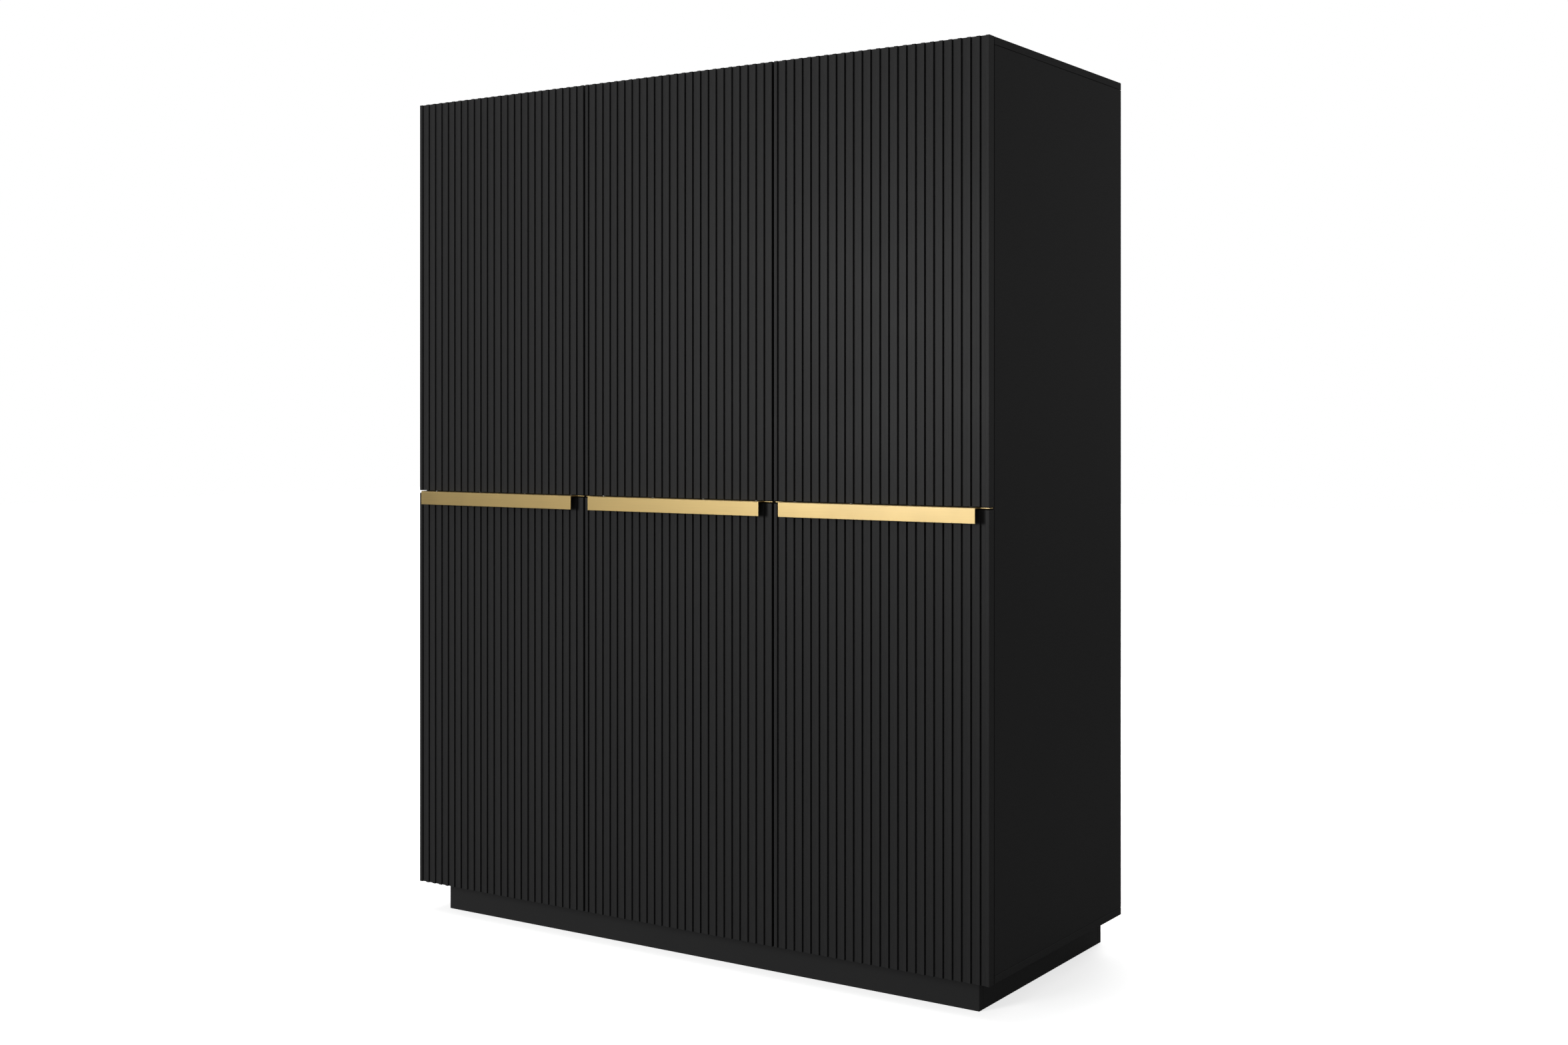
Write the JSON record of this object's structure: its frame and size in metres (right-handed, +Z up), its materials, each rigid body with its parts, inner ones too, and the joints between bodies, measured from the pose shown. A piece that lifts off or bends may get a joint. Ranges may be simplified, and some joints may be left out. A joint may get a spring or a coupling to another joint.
{
  "type": "wardrobe",
  "caption": "Tall freestanding wardrobe with fluted hinged doors split at mid height, folded metal lip handles, shelves and a hanging rail on a recessed plinth.",
  "frame": {"origin": "middle of the footprint, on the floor, handle lips included", "axes": "+X to the right seen from the front, +Y to the back, +Z up"},
  "size_m": [1.53, 0.663, 1.936],
  "materials": {
    "door_lacquer": "milled fibreboard in fine satin black lacquer",
    "carcass_board": "particle board with matt black laminate",
    "back_board": "thin hardboard, painted dark on the inside",
    "handle_metal": "steel sheet with satin pale-gold finish",
    "steel": "nickel-plated steel",
    "black_plastic": "black moulded plastic"
  },
  "bodies": {
    "carcass": {"side_left": "carcass_board", "side_right": "carcass_board", "top_panel": "carcass_board", "bottom_panel": "carcass_board", "partition": "carcass_board", "fixed_shelf_wide": "carcass_board", "fixed_shelf_narrow": "carcass_board", "shelf_lower_1": "carcass_board", "shelf_lower_2": "carcass_board", "shelf_upper_1": "carcass_board", "shelf_upper_2": "carcass_board", "plinth_front": "carcass_board", "plinth_back": "carcass_board", "plinth_left": "carcass_board", "plinth_right": "carcass_board", "back_panel_wide": "back_board", "back_panel_narrow": "back_board", "clothes_rail": "steel", "rail_socket_left": "black_plastic", "rail_socket_right": "black_plastic", "hinge_arm_lower_left_1": "steel", "hinge_arm_lower_left_2": "steel", "hinge_arm_lower_middle_1": "steel", "hinge_arm_lower_middle_2": "steel", "hinge_arm_lower_right_1": "steel", "hinge_arm_lower_right_2": "steel", "hinge_arm_upper_left_1": "steel", "hinge_arm_upper_left_2": "steel", "hinge_arm_upper_middle_1": "steel", "hinge_arm_upper_middle_2": "steel", "hinge_arm_upper_right_1": "steel", "hinge_arm_upper_right_2": "steel", "push_latch_body_left": "black_plastic", "push_latch_body_middle": "black_plastic", "push_latch_body_right": "black_plastic"},
    "leaf_lower_left": {"door_lower_left": "door_lacquer", "hinge_cup_lower_left_1": "steel", "hinge_cup_lower_left_2": "steel", "handle_left": "handle_metal"},
    "leaf_lower_middle": {"door_lower_middle": "door_lacquer", "hinge_cup_lower_middle_1": "steel", "hinge_cup_lower_middle_2": "steel", "handle_middle": "handle_metal"},
    "leaf_lower_right": {"door_lower_right": "door_lacquer", "hinge_cup_lower_right_1": "steel", "hinge_cup_lower_right_2": "steel", "handle_right": "handle_metal"},
    "leaf_upper_left": {"door_upper_left": "door_lacquer", "hinge_cup_upper_left_1": "steel", "hinge_cup_upper_left_2": "steel"},
    "leaf_upper_middle": {"door_upper_middle": "door_lacquer", "hinge_cup_upper_middle_1": "steel", "hinge_cup_upper_middle_2": "steel"},
    "leaf_upper_right": {"door_upper_right": "door_lacquer", "hinge_cup_upper_right_1": "steel", "hinge_cup_upper_right_2": "steel"},
    "latch_plunger_left": {"push_latch_plunger_left": "black_plastic"},
    "latch_plunger_middle": {"push_latch_plunger_middle": "black_plastic"},
    "latch_plunger_right": {"push_latch_plunger_right": "black_plastic"}
  },
  "joints": [
    {"name": "leaf_lower_left_hinge", "type": "hinge", "parent": "carcass", "child": "leaf_lower_left", "pos_m": [-0.7605, -0.3055, 0.5371], "axis": [0, 0, -1], "range_deg": [0, 95]},
    {"name": "leaf_lower_middle_hinge", "type": "hinge", "parent": "carcass", "child": "leaf_lower_middle", "pos_m": [0.24867, -0.3055, 0.5371], "axis": [0, 0, 1], "range_deg": [0, 95]},
    {"name": "leaf_lower_right_hinge", "type": "hinge", "parent": "carcass", "child": "leaf_lower_right", "pos_m": [0.7605, -0.3055, 0.5371], "axis": [0, 0, 1], "range_deg": [0, 95]},
    {"name": "leaf_upper_left_hinge", "type": "hinge", "parent": "carcass", "child": "leaf_upper_left", "pos_m": [-0.7605, -0.3055, 1.4732], "axis": [0, 0, -1], "range_deg": [0, 95]},
    {"name": "leaf_upper_middle_hinge", "type": "hinge", "parent": "carcass", "child": "leaf_upper_middle", "pos_m": [0.24867, -0.3055, 1.4732], "axis": [0, 0, 1], "range_deg": [0, 95]},
    {"name": "leaf_upper_right_hinge", "type": "hinge", "parent": "carcass", "child": "leaf_upper_right", "pos_m": [0.7605, -0.3055, 1.4732], "axis": [0, 0, 1], "range_deg": [0, 95]},
    {"name": "latch_plunger_left_slide", "type": "slide", "parent": "carcass", "child": "latch_plunger_left", "axis": [0, 1, 0], "range_m": [0, 0.0015], "stiffness_N_per_m": 300},
    {"name": "latch_plunger_middle_slide", "type": "slide", "parent": "carcass", "child": "latch_plunger_middle", "axis": [0, 1, 0], "range_m": [0, 0.0015], "stiffness_N_per_m": 300},
    {"name": "latch_plunger_right_slide", "type": "slide", "parent": "carcass", "child": "latch_plunger_right", "axis": [0, 1, 0], "range_m": [0, 0.0015], "stiffness_N_per_m": 300}
  ]
}
